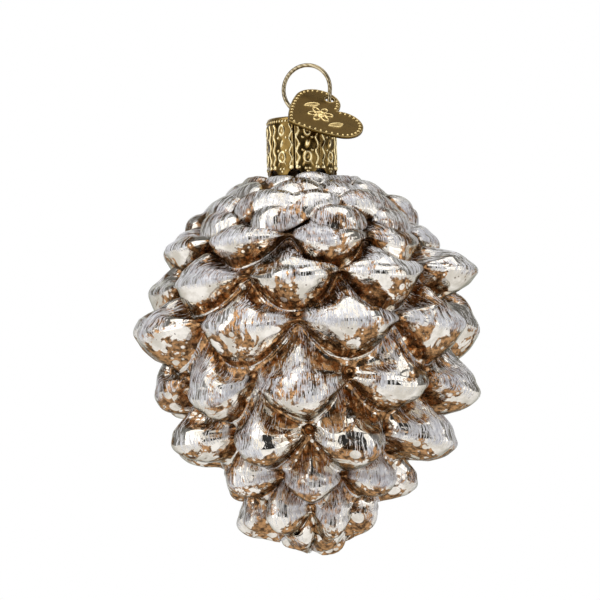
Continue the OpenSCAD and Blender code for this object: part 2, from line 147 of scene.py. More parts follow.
# The small scales round the cap are pillows: height and half length by row, lean, where they lie against the lip,
# width, and their uneven places, sizes and skews as amount and two pattern numbers.
PILLOW_H = (1.6, 2.0, 2.5, 2.9)
PILLOW_L = (2.9, 3.2, 3.7, 4.3)
PILLOW_LEAN = math.radians(32)
PILLOW_IN = 1.2
PILLOW_DOWN = 0.3
PILLOW_WIDE = 1.12
PILLOW_SHIFT = (0.14, 5.1, 2.3)
PILLOW_GROW = (0.16, 3.7, 1.9)
PILLOW_SKEW = (0.12, 2.9, 1.0)
PILLOW_BLUR = 0.7
# Where the pillows count as deep, and which line their middle and their ends count as.
DEEP_AT_RIM = 1.15
DEEP_FALL = 1.9
PILLOW_LINE = 2.35
PILLOW_LINES = 1.5

# The glass stands up a little in a ring round the cap: height, radius and half width, and the heights where it does.
SHOULDER_RING = (0.7, 11.5, 2.4)
SHOULDER_ZONE = (SHOULDER_Z - 6, SHOULDER_Z - 3)
# Heights where the relief begins under the cap, and where the upper part of the cone begins and is full.
RELIEF_ZONE = (SHOULDER_Z, SHOULDER_Z - 2)
UPPER_ZONE = (SHOULDER_Z - 22, SHOULDER_Z - 14)

# Small uneven places of the blown outline: x, z, how far they move in x and z, and their size.
UNEVEN = [
    (18.5, -31.0, 2.4, 0.6, 4.5),
    (-26.0, -34.5, -1.6, 1.4, 4.5),
    (-36.5, -51.5, -1.2, 1.0, 4.5),
    (33.0, -51.5, 1.2, 1.0, 4.5),
    (34.0, -71.0, -1.6, 1.2, 4.0),
    (-36.0, -61.0, 1.2, 1.2, 4.0),
    (-34.0, -68.5, 1.2, 0.3, 4.0),
    (-29.5, -84.0, 1.8, 2.2, 4.5),
    (-21.5, -91.0, 2.6, 0.8, 4.0),
    (-14.5, -100.5, 2.4, 1.4, 4.0),
]

# The neck's section, as radius and height over the shoulder, from inside the glass over its rounded edge.
NECK_EDGE = 0.25
NECK = [
    (NECK_R - GLASS_T, -1.0),
    (NECK_R - GLASS_T, NECK_H - NECK_EDGE),
    (NECK_R - GLASS_T / 2, NECK_H),
    (NECK_R, NECK_H - NECK_EDGE),
]


def ramp(x, start, end):
    """0 before start and 1 after end, straight between them; start may be the larger one."""
    return np.clip((x - start) / (end - start), 0, 1)


def hump(x, height, at, wide):
    """A soft ridge of the given height, place and half width."""
    return height * np.exp(-((x - at) / wide) ** 2)


def dome(u, v, height, radius):
    """A half round bump."""
    return height * np.sqrt(np.clip(1 - (u * u + v * v) / radius ** 2, 0, 1))


def turned(u, v, angle):
    """Coordinates along and across a direction."""
    return u * math.cos(angle) + v * math.sin(angle), v * math.cos(angle) - u * math.sin(angle)


def circle(middle, radius, count):
    """Points round a flat circle, anticlockwise."""
    steps = [2 * math.pi * k / count for k in range(count)]
    return [(middle[0] + radius * math.cos(f), middle[1] + radius * math.sin(f)) for f in steps]


def round_axis(radius, angle, z):
    """Points at a radius and an angle round the cone's axis; angle 0 faces the camera."""
    return np.stack(np.broadcast_arrays(radius * np.sin(angle) + AXIS_X, -radius * np.cos(angle), z), -1)


def reach(percent):
    """Distance from the axis, from percent of the cone's half width."""
    return percent / 100 * CONE_W / 2


def drop(percent):
    """Height, from percent of the cone's height down from its shoulder."""
    return SHOULDER_Z - percent / 100 * CONE_H


def ring_quads(rings, around):
    """Numbers of the points in each ring, and the quads between neighbouring rings."""
    index = np.arange(rings * around).reshape(rings, around)
    after = np.roll(index, -1, 1)
    quads = np.stack([index[1:], after[1:], after[:-1], index[:-1]], -1).reshape(-1, 4)
    return index, [tuple(quad) for quad in quads.tolist()]


def add_mesh(name, points, faces, **layers):
    """Smooth object from points in mm and faces. Each layer holds values for the points; missing ones are zero."""
    mesh = bpy.data.meshes.new(name)
    mesh.from_pydata((np.asarray(points) * MM).tolist(), [], faces)
    for layer, values in layers.items():
        values = np.asarray(values, float)
        vector = values.ndim == 2
        data = np.zeros((len(points), 3 if vector else 1))
        data[:len(values)] = values.reshape(len(values), -1)
        attribute = mesh.attributes.new(layer, "FLOAT_VECTOR" if vector else "FLOAT", "POINT")
        attribute.data.foreach_set("vector" if vector else "value", data.ravel())
    mesh.shade_smooth()
    obj = bpy.data.objects.new(name, mesh)
    bpy.context.scene.collection.objects.link(obj)
    return obj


# The glass.

def row_lines(i, phi, start):
    """The seven lines of a row as arrays of reach and height, and where each phi lies across its scale."""
    short, turn, lip_r, lip_z, foot_r, foot_z, notch_r, notch_z, roll, belly, flare, sway, tilt, curve = ROWS[i]
    count = max(SCALES - short, LEAST_SCALES)
    pitch = 360 / count
    degrees = np.degrees(phi) - turn
    number = np.floor(degrees / pitch + 0.5) % count

    def vary(term):
        return VARY * np.sin(np.radians(term * (VARY_SCALE * number + VARY_ROW * lip_z)))

    across = ((degrees + pitch / 2) % pitch) / (pitch / 2) - 1
    across = across + VARY_LEAN * vary(LEAN_TERM) * (1 - across * across)
    a = np.abs(across)
    lobe = np.clip(1 - a * a, 0, 1)
    wide = lobe ** LOBE_POWER
    low = lobe ** LIP_POWER
    lift = -tilt / 100 * CONE_H * np.sin(phi)
    far = reach(lip_r) - reach(sway) * np.sin(phi)
    in_r, in_z = reach(notch_r), drop(notch_z)
    lip = np.array([
        in_r + (far - in_r) * wide * (1 + vary(REACH_TERM)),
        in_z + lift + (drop(lip_z) - in_z) * low * (1 + VARY_LIP * vary(DROP_TERM)),
    ])
    in_r, in_z = in_r - CREASE, in_z - CREASE
    foot = np.array([
        in_r + (reach(foot_r) - in_r) * (1 - a ** FOOT_POWER),
        in_z + lift + (drop(foot_z) - in_z) * (1 - a ** curve) * (1 + VARY_FOOT * vary(DROP_TERM)),
    ])
    from_r = NECK_R if i == 0 else reach(ROWS[i - 1][NOTCH_REACH])
    from_z = SHOULDER_Z if i == 0 else drop(ROWS[i - 1][NOTCH_DROP])
    slope = np.array([from_r - far, from_z - drop(lip_z) + 0 * far])
    slope = slope / np.linalg.norm(slope, axis=0)
    out = np.array([slope[1], -slope[0]])
    top = lip + (roll * LIP_ROLL * wide + END_ROLL) * (slope + ROLL_BULGE * out)
    face = (start + top) / 2 - out * FLARE_D * flare * lobe
    knee = np.array([lip[0], lip[1] + belly * (foot[1] - lip[1])])
    under = [(1 - t) ** 2 * lip + 2 * t * (1 - t) * knee + t * t * foot for t in BELLY_STEPS]
    return [start, face, top, lip, *under, foot], across


def smooth_chain(lines, steps):
    """Rounded curve through a chain of lines: tangents follow the shorter neighbour, so folds turn softly."""
    gaps = np.diff(lines, axis=0)
    length = np.linalg.norm(gaps, axis=1, keepdims=True) + LEAST_GAP
    ways = gaps / length
    tangent = np.empty_like(lines)
    tangent[0], tangent[-1] = ways[0], ways[-1]
    tangent[1:-1] = ways[:-1] * length[1:] + ways[1:] * length[:-1]
    tangent /= np.linalg.norm(tangent, axis=1, keepdims=True) + TINY
    rings = []
    for k, count in enumerate(steps):
        for t in np.arange(count) / count:
            near, leave = 2 * t ** 3 - 3 * t ** 2 + 1, t ** 3 - 2 * t ** 2 + t
            far, arrive = -2 * t ** 3 + 3 * t ** 2, t ** 3 - t ** 2
            rings.append(near * lines[k] + far * lines[k + 1]
                         + length[k] * (leave * tangent[k] + arrive * tangent[k + 1]))
    rings.append(lines[-1])
    return np.array(rings)


def smooth_ring(values, sigma):
    """Blurs values round the ring, the last axis."""
    half = int(3 * sigma) + 1
    steps = np.arange(-half, half + 1)
    weight = np.exp(-steps ** 2 / (2 * sigma ** 2))
    weight /= weight.sum()
    return sum(w * np.roll(values, k, -1) for w, k in zip(weight, steps))


def glass_rings(phi):
    """Rings of the skin as reach and height, with each ring's line, its places across, and 1 in the large rows."""
    start = np.array([NECK_R + 0 * phi, SHOULDER_Z + 0 * phi])
    chain, steps, line, across, large = [start], [], [], [], []
    for i in range(len(ROWS)):
        lines, places = row_lines(i, phi, start)
        chain += lines[1:]
        is_large = FIRST_LARGE <= i < len(ROWS) - 1
        here = FINE_STEPS if is_large else SMALL_STEPS
        steps += here
        for k, count in enumerate(here):
            line += [k + j / count for j in range(count)]
            across += [places] * count
            large += [float(is_large)] * count
        start = lines[-1]
    rings = smooth_chain(np.array(chain), steps)
    return rings, np.array(line + [LAST_LINE]), np.array(across + across[-1:]), np.array(large + [0.0])


def soften(rings, line):
    """Smooths the small rows at the top until only a soft slope is left, and the large rows a little."""
    soft = SOFT_RINGS
    for _ in range(SOFT_PASSES):
        rings[1:soft] = 0.25 * rings[:soft - 1] + 0.5 * rings[1:soft] + 0.25 * rings[2:soft + 1]
    rings[:soft] = smooth_ring(rings[:soft], SMALL_BLUR)
    rings[soft:] = smooth_ring(rings[soft:], LARGE_BLUR)
    lip = ramp(np.abs(line[soft:] - LIP_LINE), *LIP_NEAR)[:, None, None]
    rings[soft:] = rings[soft:] * (1 - lip) + smooth_ring(rings[soft:], LIP_BLUR) * lip


def outward(xyz):
    """Normals of a surface given by rings, away from the middle of the cone."""
    down = np.gradient(xyz, axis=0)
    side = (np.roll(xyz, -1, 1) - np.roll(xyz, 1, 1)) / 2
    normal = np.cross(side, down)
    normal /= np.linalg.norm(normal, axis=-1, keepdims=True) + TINY
    middle = np.array([AXIS_X, 0, SHOULDER_Z - CONE_H / 2])
    return normal * np.sign((normal * (xyz - middle)).sum(-1).mean())


def waves(points, height, length, count, seed):
    """Smooth uneven field over points, from waves in fixed random directions."""
    rng = np.random.default_rng(seed)
    total = np.zeros(points.shape[:-1])
    for _ in range(count):
        way = rng.normal(size=3)
        way *= 2 * math.pi / (length * rng.uniform(*WAVE_SPREAD) * np.linalg.norm(way))
        total += np.sin(points @ way + rng.uniform(0, 2 * math.pi))
    return height * total / math.sqrt(count)


def glass_lift(xyz, line, across, large):
    """How far the points stand out: blown lumps, ridged faces, beaded lips, and creases between the scales."""
    line, a, large = line[:, None], np.abs(across), large[:, None]
    face = large * ramp(line, *FACE_STARTS) * ramp(line, *FACE_ENDS)
    edge = large * ramp(a, *LIP_ENDS)
    join = large * ramp(line, *CREASE_STARTS) * ramp(line, *CREASE_ENDS)
    lift = waves(xyz, *LUMPS) + waves(xyz, *RIPPLES)
    lift += face * (hump(a, *FACE_RIDGE) + hump(a, *FACE_HOLLOW))
    lift += edge * (hump(line, *LIP_BEAD) + hump(line, *LIP_GROOVE))
    return lift + join * hump(a, *JOINT_CREASE)


def pillows(points):
    """Lift of the small scales at the top, how deep each point lies between them, and where along its scale."""
    best, share, lower = (np.zeros(points.shape[:-1]) for _ in range(3))
    lean_cos, lean_sin = math.cos(PILLOW_LEAN), math.sin(PILLOW_LEAN)
    for i, (high, long) in enumerate(zip(PILLOW_H, PILLOW_L)):
        far, height = reach(ROWS[i][LIP_REACH]) - PILLOW_IN, drop(ROWS[i][LIP_DROP]) - PILLOW_DOWN
        wide = math.pi * far / SCALES * PILLOW_WIDE
        for k in range(SCALES):
            shift, grow, skew = (amount * math.sin(by_scale * k + by_row * i)
                                 for amount, by_scale, by_row in (PILLOW_SHIFT, PILLOW_GROW, PILLOW_SKEW))
            f = math.radians(ROWS[i][TURN] + 360 / SCALES * (k + shift))
            size = 1 + grow
            way = points - round_axis(far, f, height)
            u = way @ np.array([math.cos(f), math.sin(f), 0])
            v = way @ np.array([math.sin(f) * lean_cos, -math.cos(f) * lean_cos, -lean_sin]) + u * skew
            inside = np.clip(1 - (u / (wide * size)) ** 2 - (v / long) ** 2, 0, 1)
            rise = high * size * np.sqrt(inside)
            share = np.where(rise > best, inside, share)
            lower = np.where(rise > best, np.clip(v / long, -1, 1), lower)
            best = np.maximum(best, rise)
    return smooth_ring(best, PILLOW_BLUR), np.clip(DEEP_AT_RIM - DEEP_FALL * share, 0, 1), lower


def glass_shell():
    """Fine skin over the solid's own lines, with what its material needs in layers on its points."""
    phi = np.arange(AROUND) * 2 * math.pi / AROUND
    rings, line, across, large = glass_rings(phi)
    soften(rings, line)
    z = rings[:, 1, :]
    xyz = round_axis(rings[:, 0, :], phi, z)
    normal = outward(xyz)
    lift = glass_lift(xyz, line, across, large)
    upper = ramp(z, *UPPER_ZONE)
    pillow, crease, lower = pillows(xyz[:SOFT_RINGS])
    lift[:SOFT_RINGS] += pillow
    along = np.repeat(line, AROUND).reshape(-1, AROUND)
    along[:SOFT_RINGS] = PILLOW_LINE + PILLOW_LINES * lower
    across[:SOFT_RINGS] = crease
    xyz = xyz + normal * (lift * ramp(z, *RELIEF_ZONE))[..., None]
    for x, z, dx, dz, size in UNEVEN:
        way = xyz - np.array([x, 0, z])
        near = np.exp(-(way * way).sum(-1) / (2 * size * size))
        xyz = xyz + near[..., None] * np.array([dx, 0, dz])
    radius = np.hypot(xyz[..., 0] - AXIS_X, xyz[..., 1])
    xyz[..., 2] += hump(radius, *SHOULDER_RING) * ramp(xyz[..., 2], *SHOULDER_ZONE)

    neck = np.array([round_axis(r, phi, SHOULDER_Z + h) for r, h in NECK])
    blank = np.zeros((len(NECK), AROUND))
    xyz = np.concatenate([neck, xyz])
    along, across, upper = (np.concatenate(pair) for pair in ((blank, along), (blank, across), (blank + 1, upper)))
    index, faces = ring_quads(len(xyz), AROUND)
    pole = index.size
    faces += [(i, pole, j) for i, j in zip(index[-1].tolist(), np.roll(index[-1], -1).tolist())]
    points = np.concatenate([xyz.reshape(-1, 3), [[AXIS_X, 0, drop(POLE_DROP)]]])
    # Brush strokes run down the surface: two coordinates round the cone, and the way down from the neck.
    run = np.concatenate([np.zeros((1, AROUND)), np.cumsum(np.linalg.norm(np.diff(xyz, axis=0), axis=-1), 0)])
    girth = np.hypot(xyz[..., 0] - AXIS_X, xyz[..., 1]).mean()
    streak = np.stack(np.broadcast_arrays(np.cos(phi) * girth, np.sin(phi) * girth, run), -1)
    return add_mesh("glass_shell", points, faces, streak=streak.reshape(-1, 3), along=along.ravel(),
                    upper=upper.ravel(), across=np.abs(across).ravel())


# The cap and the tag.

def in_polygon(x, y, polygon):
    """Whether points lie inside a polygon, by counting crossings."""
    inside = np.zeros(np.shape(x), bool)
    px, py = np.array(polygon).T
    for ax, ay, bx, by in zip(px, py, np.roll(px, -1), np.roll(py, -1)):
        if by != ay:
            inside ^= ((ay > y) != (by > y)) & (x < (bx - ax) * (y - ay) / (by - ay) + ax)
    return inside


def flat_faces(rim, holes, inner=()):
    """Triangles, anticlockwise, of a flat outline with holes and inner points, numbered in that order."""
    points, edges = [], []
    for loop in [rim, *holes]:
        base, count = len(points), len(loop)
        points += loop
        edges += [(base + i, base + (i + 1) % count) for i in range(count)]
    points += inner
    spots, _, polygons, sources, _, _ = geometry.delaunay_2d_cdt([Vector(p) for p in points], edges, [], 0, TINY)
    tris = np.array([face for face in polygons if len(face) == 3])
    spots = np.array([tuple(v) for v in spots])
    a, b, c = (spots[tris[:, k]] for k in range(3))
    mid = (a + b + c) / 3
    area = (b[:, 0] - a[:, 0]) * (c[:, 1] - a[:, 1]) - (b[:, 1] - a[:, 1]) * (c[:, 0] - a[:, 0])
    keep = in_polygon(mid[:, 0], mid[:, 1], rim) & (np.abs(area) > TINY)
    for hole in holes:
        keep &= ~in_polygon(mid[:, 0], mid[:, 1], hole)
    first = [numbers[0] for numbers in sources]
    faces = []
    for tri, sign in zip(tris[keep].tolist(), area[keep]):
        face = tuple(first[i] for i in tri)
        faces.append(face if sign > 0 else face[::-1])
    return faces


PANELS = 8
PANEL_FIRST = 10.0
PANEL_PITCH = 360 / PANELS
SEAM_AT = -12.5
NOTCH_R = 1.8
NOTCH_UP = 1.2
HOLE_SHIFT = (CAP_H + SEAT_GAP) * math.tan(LEAN)
WIRE_HOLE_R = 0.85
WIRE_HOLE_POINTS = 40
CAP_AROUND = 600
CAP_DOWN = 116
CAP_EDGE_STEPS = 7
# How the smooth places of the cap count in the brass, from dark hollows to bright relief.
EDGE_TONE = 0.06
HOLE_TONE = 0.04

# Stamping of the cap's panels, in mm across from a panel's middle and down from the cap's top.
PANEL_TOP = 1.5
PANEL_END = 10.7
PANEL_FADE = 1 / 3
RIB = (0.26, 0.0, 0.19)
RIB_AT = 2.1
RIB_SWING = 0.26
RIB_LONG = 3.0
RIB_SIDE_PHASE = 1.3
RIB_PANEL_PHASE = 0.9
# Two leaning strokes under the lower oval.
STROKE = (0.16, 0.0, 0.16)
STROKE_MIDDLE = 10.2
STROKE_HALF = 0.7
STROKE_OUT = 0.82
STROKE_LEAN = 0.45
# Beads as across, down, height and radius; those off the middle come in pairs.
PANEL_BEADS = [
    (2.15, 11.05, 0.34, 0.52),
    (1.02, 4.6, 0.18, 0.30),
    (1.02, 7.4, 0.18, 0.30),
    (0.42, 11.35, 0.22, 0.30),
]
LOWEST_BEAD = (0, 11.95, 0.22, 0.30)
# Ovals as middle, half width and half height, with their rim and their core; between them a leaning drop.
OVALS = [(3.0, 0.62, 1.05), (8.8, 0.78, 1.10)]
OVAL_RIM = (0.26, 1.0, 0.24)
OVAL_CORE = (0.12, 0.0, 0.4)
DROP_MIDDLE = 5.9
DROP_LEAN = 0.25
DROP_WIDE = 0.40
DROP_TALL = 0.85
DROP_RIDGE = (0.28, 0.0, 0.85)
PANEL_FOLD = (0.10, math.pi * CAP_R / PANELS, 0.14)
TOP_BEADS = 60
TOP_BEAD = (0.17, 0.28)
TOP_BEAD_DOWN = 1.0
SEAM_SLOT = (-0.34, 0.0, 0.10)
SEAM_LIPS = (0.10, 0.32, 0.12)


def cap_relief(theta, d):
    """Stamping of the cap: theta in degrees round it, d down from its top."""
    turn = theta - PANEL_FIRST + PANEL_PITCH / 2
    s = np.radians(turn % PANEL_PITCH - PANEL_PITCH / 2) * CAP_R
    panel = np.floor(turn % 360 / PANEL_PITCH)
    inside = ramp(d, PANEL_TOP, PANEL_TOP + PANEL_FADE) * ramp(d, PANEL_END, PANEL_END - PANEL_FADE)
    stroke = ramp(np.abs(d - STROKE_MIDDLE), STROKE_HALF, 0)
    x, y, height, radius = LOWEST_BEAD
    h = dome(s - x, d - y, height, radius)
    for side in (-1, 1):
        phase = RIB_SIDE_PHASE * side + RIB_PANEL_PHASE * panel
        wavy = side * (RIB_AT + RIB_SWING * np.sin(2 * math.pi * d / RIB_LONG + phase))
        h = h + hump(s - wavy, *RIB) * inside
        h = h + hump(s - side * (STROKE_OUT + STROKE_LEAN * (d - STROKE_MIDDLE)), *STROKE) * stroke
        for x, y, height, radius in PANEL_BEADS:
            h = h + dome(s - side * x, d - y, height, radius)
    for middle, wide, tall in OVALS:
        oval = np.hypot(s / wide, (d - middle) / tall)
        h = h + hump(oval, *OVAL_RIM) + hump(oval, *OVAL_CORE)
    below = d - DROP_MIDDLE
    h = h + hump(np.hypot((s + DROP_LEAN * below) / DROP_WIDE, below / DROP_TALL), *DROP_RIDGE)
    h = h + hump(np.abs(s), *PANEL_FOLD) * inside
    u = ((theta / 360 * TOP_BEADS) % 1 - 0.5) * 2 * math.pi * CAP_R / TOP_BEADS
    h = h + dome(u, d - TOP_BEAD_DOWN, *TOP_BEAD)
    seam = np.radians((theta - SEAM_AT + 180) % 360 - 180) * CAP_R
    return h + hump(seam, *SEAM_SLOT) + hump(np.abs(seam), *SEAM_LIPS)


def cap_shell():
    """The stamped cup: wall with rounded top edge and lobed lower edge, and its top with the two wire holes."""
    theta = np.arange(CAP_AROUND) * 360 / CAP_AROUND
    f = np.radians(theta)
    from_notch = np.radians((theta - PANEL_FIRST) % PANEL_PITCH - PANEL_PITCH / 2) * CAP_R
    arch = np.sqrt(np.clip(NOTCH_R ** 2 - from_notch ** 2, 0, None))
    foot = CAP_H - np.clip(arch - (NOTCH_R - NOTCH_UP), 0, None)
    rings, relief = [], []

    def ring(radius, d, tone):
        rings.append(round_axis(radius + 0 * f, f, CAP_TOP - d))
        relief.append(tone + 0 * f)

    for k in range(CAP_EDGE_STEPS):
        turn = math.pi / 2 * k / CAP_EDGE_STEPS
        ring(CAP_R - CAP_EDGE + CAP_EDGE * math.sin(turn), CAP_EDGE * (1 - math.cos(turn)), EDGE_TONE)
    for j in range(CAP_DOWN + 1):
        d = CAP_EDGE + (foot - CAP_EDGE) * j / CAP_DOWN
        h = cap_relief(theta, d)
        ring(CAP_R + h, d, h)
    ring(CAP_R - CAP_T, foot, 0)
    ring(CAP_R - CAP_T, CAP_T, 0)
    index, faces = ring_quads(len(rings), CAP_AROUND)
    points = [tuple(p) for p in np.array(rings).reshape(-1, 3).tolist()]
    relief = np.array(relief).ravel().tolist()

    legs = [(side * LEG_HALF * math.cos(HANGER_TURN), side * LEG_HALF * math.sin(HANGER_TURN)) for side in (1, -1)]
    holes = [circle((AXIS_X + HOLE_SHIFT + x, y), WIRE_HOLE_R, WIRE_HOLE_POINTS) for x, y in legs]
    starts = []
    for z, row, underside in ((CAP_TOP, index[0], False), (CAP_TOP - CAP_T, index[-1], True)):
        start = len(points)
        starts.append(start)
        rim = [points[i][:2] for i in row]
        for hole in holes:
            points += [(x, y, z) for x, y in hole]
            relief += [HOLE_TONE] * len(hole)
        number = row.tolist() + list(range(start, len(points)))
        for face in flat_faces(rim, holes):
            faces.append(tuple(number[i] for i in (face[::-1] if underside else face)))
    for base in (0, WIRE_HOLE_POINTS):
        for k in range(WIRE_HOLE_POINTS):
            here, after = base + k, base + (k + 1) % WIRE_HOLE_POINTS
            faces.append((starts[0] + here, starts[0] + after, starts[1] + after, starts[1] + here))
    return add_mesh("cap_shell", points, faces, relief=relief)


LOBE_R = 5.0
LOBE_X = 4.5
TIP_L = 10.5
SIDE_BOW = 0.6
LOBE_SHARE = 0.6
TAG_T = 0.5
TAG_HOLE_INSET = 1.9
TAG_HOLE = (-LOBE_X, LOBE_R - TAG_HOLE_INSET)
TAG_HOLE_R = 0.98
TAG_DROP = 2.4
TAG_SWING = 31
TAG_TILT = 38.5
TAG_TURN = -66
HALF_STEPS = 90
TAG_HOLE_POINTS = 48
# Spacing of the points on the tag's faces, and how they keep clear of its outline and its hole.
TAG_STEP = 0.115
TAG_ROW_STEP = TAG_STEP * 0.9
TAG_INNER = 0.994
TAG_HOLE_CLEAR = 0.04

# Stamping of the tag's front.
BEADS = 22
BEAD_INSET = 0.72
# A short step along the outline, for the direction of a bead.
BEAD_WAY = 0.002
BEAD_LONG = 0.85
BEAD_WIDE = 1.1
BEAD = (0.26, 0.32)
TAG_RIM = (0.10, 0.14, 0.13)
TAG_ROUND = 0.1
TAG_ROUND_DOWN = 0.05
TAG_HOLE_FLAT = 0.5
TAG_HOLE_RIM = (0.10, TAG_HOLE_R + 0.16, 0.13)
FLOWER_Y = -2.2
FLOWER_BEAD = (0.22, 0.62)
FLOWER_RING = (0.10, 0.95, 0.12)
PETALS = 6
PETAL_AT = 1.75
PETAL_LONG = 0.90
PETAL_WIDE = 0.62
PETAL_RIM = (0.21, 1.0, 0.24)
LEAVES = [(-3.9, -1.9), (4.6, -1.2)]
LEAF_TURN = math.radians(79)
LEAF_LONG = 1.9
LEAF_WIDE = 0.74
LEAF_LEAST = 0.02
LEAF_END = (LEAF_LONG + 0.05, LEAF_LONG - 0.2)
LEAF_RIM = (0.22, 0.9, 0.34)
LEAF_VEIN = (0.14, 0.0, 0.11)


def heart_at(r, t):
    """Point of the heart's right half outline with lobes of radius r: 0 at the notch, 1 at the tip."""
    tip = math.hypot(LOBE_X, TIP_L)
    run = math.sqrt(tip ** 2 - LOBE_R ** 2)
    side = math.acos(LOBE_R / tip) + math.atan2(TIP_L, LOBE_X) - math.pi + math.atan(4 * SIDE_BOW / run)
    notch = math.pi - math.acos(LOBE_X / LOBE_R)

    def lobe_point(angle):
        return np.array([LOBE_X + r * math.cos(angle), r * math.sin(angle)])

    if t < LOBE_SHARE:
        return lobe_point(notch + (side - notch) * t / LOBE_SHARE)
    k = (t - LOBE_SHARE) / (1 - LOBE_SHARE)
    a = lobe_point(side)
    b = np.array([0, -TIP_L + (LOBE_R - r) * tip / (2 * LOBE_R)])
    way = (b - a) / np.linalg.norm(b - a)
    return a + (b - a) * k + np.array([-way[1], way[0]]) * 4 * SIDE_BOW * k * (1 - k)


def tag_relief(x, y, rim):
    """Stamping of the tag's front: a fine rim, a border of beads, and a flower between two leaves."""
    edge = np.full(x.shape, np.inf)
    for p, q in zip(rim, np.roll(rim, -1, 0)):
        way = q - p
        k = np.clip(((x - p[0]) * way[0] + (y - p[1]) * way[1]) / (way @ way), 0, 1)
        edge = np.minimum(edge, np.hypot(x - p[0] - k * way[0], y - p[1] - k * way[1]))
    h = hump(edge, *TAG_RIM) - TAG_ROUND_DOWN * ramp(edge, TAG_ROUND, 0)
    for side in (-1, 1):
        for i in range(BEADS):
            t = (i + 0.5) / BEADS
            at, ahead = heart_at(LOBE_R - BEAD_INSET, t), heart_at(LOBE_R - BEAD_INSET, t + BEAD_WAY)
            angle = math.atan2(ahead[1] - at[1], ahead[0] - at[0])
            along, across = turned(x * side - at[0], y - at[1], angle)
            h = h + dome(along / BEAD_LONG, across / BEAD_WIDE, *BEAD)
    hole = np.hypot(x - TAG_HOLE[0], y - TAG_HOLE[1])
    h = np.where(hole < TAG_HOLE_R + TAG_HOLE_FLAT, hump(hole, *TAG_HOLE_RIM), h)
    up = y - FLOWER_Y
    h = h + dome(x, up, *FLOWER_BEAD) + hump(np.hypot(x, up), *FLOWER_RING)
    for k in range(PETALS):
        along, across = turned(x, up, 2 * math.pi * k / PETALS)
        h = h + hump(np.hypot((along - PETAL_AT) / PETAL_LONG, across / PETAL_WIDE), *PETAL_RIM)
    for leaf_x, leaf_y in LEAVES:
        along, across = turned(x - leaf_x, y - leaf_y, LEAF_TURN)
        half = LEAF_WIDE * np.clip(1 - (along / LEAF_LONG) ** 2, LEAF_LEAST, 1)
        on = ramp(np.abs(along), *LEAF_END)
        h = h + on * (hump(np.abs(across) / half, *LEAF_RIM) + hump(across, *LEAF_VEIN))
    return h


def tag_shell():
    """The heart: its stamped front, plain back and edges, placed where it hangs on the loop."""
    half = [heart_at(LOBE_R, i / HALF_STEPS) for i in range(HALF_STEPS + 1)]
    mirrored = [np.array([-p[0], p[1]]) for p in half[-2:0:-1]]
    rim = np.array(half + mirrored)[::-1]
    hole = circle(TAG_HOLE, TAG_HOLE_R, TAG_HOLE_POINTS)
    gx, gy = np.meshgrid(np.arange(rim[:, 0].min(), rim[:, 0].max(), TAG_STEP),
                         np.arange(rim[:, 1].min(), rim[:, 1].max(), TAG_ROW_STEP))
    gx = gx + (np.arange(gx.shape[0]) % 2)[:, None] * TAG_STEP / 2
    gx, gy = gx.ravel(), gy.ravel()
    inner = in_polygon(gx, gy, rim * TAG_INNER)
    inner &= np.hypot(gx - TAG_HOLE[0], gy - TAG_HOLE[1]) > TAG_HOLE_R + TAG_HOLE_CLEAR
    grid = np.stack([gx[inner], gy[inner]], -1).tolist()
    flat = np.array(rim.tolist() + hole + grid)
    relief = tag_relief(flat[:, 0], flat[:, 1], rim)
    count, total = len(rim), len(flat)
    edge = count + TAG_HOLE_POINTS
    relief[:edge] = np.clip(relief[:edge], 0, None)
    front = np.column_stack([flat, TAG_T / 2 + relief])
    back = np.column_stack([flat, np.full(total, -TAG_T / 2)])
    faces = flat_faces(rim.tolist(), [hole], grid)
    faces += [tuple(i + total for i in face[::-1]) for face in faces]
    for i in range(count):
        j = (i + 1) % count
        faces.append((i, i + total, j + total, j))
    for k in range(TAG_HOLE_POINTS):
        i, j = count + k, count + (k + 1) % TAG_HOLE_POINTS
        faces.append((j, j + total, i + total, i))

    def turn(angle, axis):
        return Matrix.Rotation(angle, 4, axis)

    place = (turn(LEAN, "Y") @ turn(HANGER_TURN, "Z")
             @ Matrix.Translation((LOOP_R, 0, -(LOOP_R - WIRE_R + TAG_DROP)))
             @ turn(math.radians(TAG_SWING), "Z") @ turn(math.radians(TAG_TILT), "X")
             @ turn(math.radians(TAG_TURN), "Z") @ Matrix.Translation((-TAG_HOLE[0], -TAG_HOLE[1], 0)))
    points = np.concatenate([front, back]) @ np.array(place.to_3x3()).T + np.array(place.translation)
    return add_mesh("tag_shell", points, faces, relief=np.concatenate([relief, np.zeros(total)]))


# The materials.

